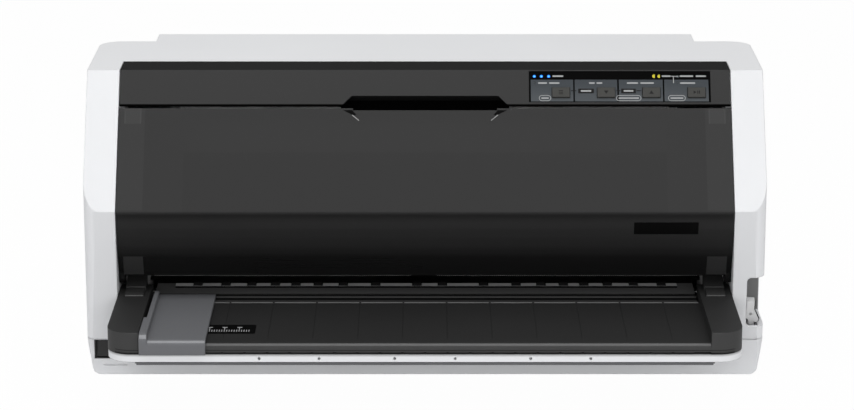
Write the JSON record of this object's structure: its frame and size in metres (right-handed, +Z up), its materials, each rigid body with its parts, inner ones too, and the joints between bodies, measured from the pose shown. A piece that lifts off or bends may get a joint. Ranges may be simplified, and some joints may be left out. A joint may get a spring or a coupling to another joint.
{
  "type": "dot matrix printer",
  "caption": "Wide desktop impact printer with a flat paper table in front, a smoked cover that swings forwards, a sliding edge guide and a rear paper bay under a hinged cover.",
  "frame": {"origin": "middle of the bounding box at the height of the table top it stands on", "axes": "+X to the right seen from the front, +Y to the back, +Z up"},
  "size_m": [0.48, 0.373, 0.21],
  "materials": {
    "case_white": "satin",
    "case_grey": "satin",
    "panel_black": "satin",
    "panel_print": "satin",
    "lens": "satin",
    "button_grey": "satin",
    "board_green": "satin",
    "smoked": "satin",
    "table_black": "satin",
    "guide_grey": "satin",
    "lever_grey": "satin",
    "switch_black": "satin",
    "frame_steel": "satin",
    "frame_white": "satin",
    "strip_grey": "satin",
    "platen_rubber": "satin",
    "carriage_black": "satin",
    "head_metal": "satin",
    "ribbon_ink": "satin",
    "belt_rubber": "satin",
    "gear_nylon": "satin",
    "motor_metal": "satin",
    "supply_board": "satin",
    "foot_rubber": "satin"
  },
  "bodies": {
    "case": {"lower_case": "case_grey", "upper_case": "case_white", "panel_strip": "panel_black", "panel_plate": "panel_print", "led_lenses": "lens", "panel_board": "board_green", "paper_table": "table_black", "table_tray": "case_white", "power_switch": "switch_black", "base_frame": "frame_steel", "side_frame_left": "frame_white", "side_frame_right": "frame_white", "crossbar": "frame_steel", "paper_bed": "table_black", "guide_strip": "strip_grey", "platen": "platen_rubber", "carriage_shaft": "frame_steel", "ribbon_cartridge": "carriage_black", "ribbon": "ribbon_ink", "timing_belt": "belt_rubber", "carriage_motor": "motor_metal", "feed_motor": "motor_metal", "tractor_rod": "frame_steel", "main_board": "board_green", "power_supply": "supply_board", "ac_inlet": "switch_black", "interface_ports": "frame_steel", "rubber_feet": "foot_rubber", "case_screws": "frame_steel"},
    "front_cover": {"front_cover": "smoked"},
    "rear_cover": {"rear_cover": "case_white"},
    "button_1": {"button_1": "button_grey"},
    "button_2": {"button_2": "button_grey"},
    "button_3": {"button_3": "button_grey"},
    "button_4": {"button_4": "button_grey"},
    "edge_guide": {"edge_guide": "guide_grey"},
    "power_rocker": {"power_rocker": "switch_black"},
    "release_lever": {"release_lever": "lever_grey"},
    "print_carriage": {"carriage": "carriage_black", "print_head": "head_metal", "heat_sink": "head_metal", "ribbon_mask": "frame_steel"},
    "motor_pulley": {"motor_pulley": "gear_nylon"},
    "idler_pulley": {"idler_pulley": "gear_nylon"},
    "ribbon_knob": {"ribbon_knob": "carriage_black"},
    "front_feed": {"front_feed_shaft": "frame_steel", "front_feed_rollers": "platen_rubber", "front_feed_gear": "gear_nylon"},
    "rear_feed": {"rear_feed_shaft": "frame_steel", "rear_feed_rollers": "platen_rubber", "rear_feed_gear": "gear_nylon"},
    "idler_gear": {"idler_gear": "gear_nylon"},
    "tractor_idler": {"tractor_idler": "gear_nylon"},
    "feed_pinion": {"feed_pinion": "gear_nylon"},
    "tractor_drive": {"tractor_shaft": "frame_steel", "tractor_gear": "gear_nylon"},
    "tractor_left": {"tractor_left": "carriage_black"},
    "tractor_right": {"tractor_right": "carriage_black"},
    "tractor_door_left": {"tractor_door_left": "carriage_black"},
    "tractor_door_right": {"tractor_door_right": "carriage_black"}
  },
  "joints": [
    {"name": "front_cover_hinge", "type": "hinge", "parent": "case", "child": "front_cover", "pos_m": [0, -0.07755, 0.07], "axis": [1, 0, 0], "range_deg": [0, 70]},
    {"name": "rear_cover_hinge", "type": "hinge", "parent": "case", "child": "rear_cover", "pos_m": [0, 0.09645, 0.1578], "axis": [1, 0, 0], "range_deg": [0, 70]},
    {"name": "button_1_press", "type": "slide", "parent": "case", "child": "button_1", "axis": [0, 0.8399, -0.5427], "range_m": [0, 0.001], "stiffness_N_per_m": 400, "springref_m": -0.0006},
    {"name": "button_2_press", "type": "slide", "parent": "case", "child": "button_2", "axis": [0, 0.8399, -0.5427], "range_m": [0, 0.001], "stiffness_N_per_m": 400, "springref_m": -0.0006},
    {"name": "button_3_press", "type": "slide", "parent": "case", "child": "button_3", "axis": [0, 0.8399, -0.5427], "range_m": [0, 0.001], "stiffness_N_per_m": 400, "springref_m": -0.0006},
    {"name": "button_4_press", "type": "slide", "parent": "case", "child": "button_4", "axis": [0, 0.8399, -0.5427], "range_m": [0, 0.001], "stiffness_N_per_m": 400, "springref_m": -0.0006},
    {"name": "power_rocker_tip", "type": "hinge", "parent": "case", "child": "power_rocker", "pos_m": [0, -0.08635, 0.0194], "axis": [1, 0, 0], "range_deg": [0, 10]},
    {"name": "release_lever_swing", "type": "hinge", "parent": "case", "child": "release_lever", "pos_m": [0, -0.07355, 0.014], "axis": [-1, 0, 0], "range_deg": [0, 30]},
    {"name": "edge_guide_slide", "type": "slide", "parent": "case", "child": "edge_guide", "axis": [1, 0, 0], "range_m": [0, 0.045]},
    {"name": "carriage_slide", "type": "slide", "parent": "case", "child": "print_carriage", "axis": [1, 0, 0], "range_m": [-0.128, 0.128]},
    {"name": "motor_pulley_spin", "type": "hinge", "parent": "case", "child": "motor_pulley", "pos_m": [-0.182, 0.04845, 0.088], "axis": [0, 0, 1], "range_deg": [-777, 777]},
    {"name": "idler_pulley_spin", "type": "hinge", "parent": "case", "child": "idler_pulley", "pos_m": [0.182, 0.04845, 0.088], "axis": [0, 0, 1], "range_deg": [-777, 777]},
    {"name": "ribbon_knob_spin", "type": "hinge", "parent": "case", "child": "ribbon_knob", "pos_m": [0.12, -0.05955, 0.104], "axis": [0, 0, 1], "continuous": true},
    {"name": "front_feed_spin", "type": "hinge", "parent": "case", "child": "front_feed", "pos_m": [0, -0.04405, 0.0472], "axis": [1, 0, 0], "continuous": true},
    {"name": "idler_gear_spin", "type": "hinge", "parent": "case", "child": "idler_gear", "pos_m": [0.206, 0.01295, 0.0472], "axis": [1, 0, 0], "continuous": true},
    {"name": "rear_feed_spin", "type": "hinge", "parent": "case", "child": "rear_feed", "pos_m": [0, 0.06995, 0.0472], "axis": [1, 0, 0], "continuous": true},
    {"name": "tractor_idler_spin", "type": "hinge", "parent": "case", "child": "tractor_idler", "pos_m": [0.206, 0.09845, 0.06752], "axis": [1, 0, 0], "continuous": true},
    {"name": "tractor_shaft_spin", "type": "hinge", "parent": "case", "child": "tractor_drive", "pos_m": [0, 0.12695, 0.08783], "axis": [1, 0, 0], "continuous": true},
    {"name": "feed_pinion_spin", "type": "hinge", "parent": "case", "child": "feed_pinion", "pos_m": [0.206, 0.08486, 0.0259], "axis": [1, 0, 0], "continuous": true},
    {"name": "tractor_left_slide", "type": "slide", "parent": "case", "child": "tractor_left", "axis": [1, 0, 0], "range_m": [-0.06, 0.06]},
    {"name": "tractor_right_slide", "type": "slide", "parent": "case", "child": "tractor_right", "axis": [1, 0, 0], "range_m": [-0.06, 0.06]},
    {"name": "tractor_door_left_hinge", "type": "hinge", "parent": "tractor_left", "child": "tractor_door_left", "pos_m": [-0.12, 0.12695, 0.10323], "axis": [0, -1, 0], "range_deg": [0, 95]},
    {"name": "tractor_door_right_hinge", "type": "hinge", "parent": "tractor_right", "child": "tractor_door_right", "pos_m": [0.12, 0.12695, 0.10323], "axis": [0, 1, 0], "range_deg": [0, 95]}
  ],
  "couplings": [
    {"joint": "motor_pulley_spin", "follows": "carriage_slide", "rad_per_m": 105.26},
    {"joint": "idler_pulley_spin", "follows": "carriage_slide", "rad_per_m": 105.26},
    {"joint": "idler_gear_spin", "follows": "front_feed_spin", "ratio": -0.46154},
    {"joint": "rear_feed_spin", "follows": "front_feed_spin", "ratio": 1},
    {"joint": "tractor_idler_spin", "follows": "front_feed_spin", "ratio": -1.0588},
    {"joint": "tractor_shaft_spin", "follows": "front_feed_spin", "ratio": 1},
    {"joint": "feed_pinion_spin", "follows": "front_feed_spin", "ratio": -2.25}
  ]
}
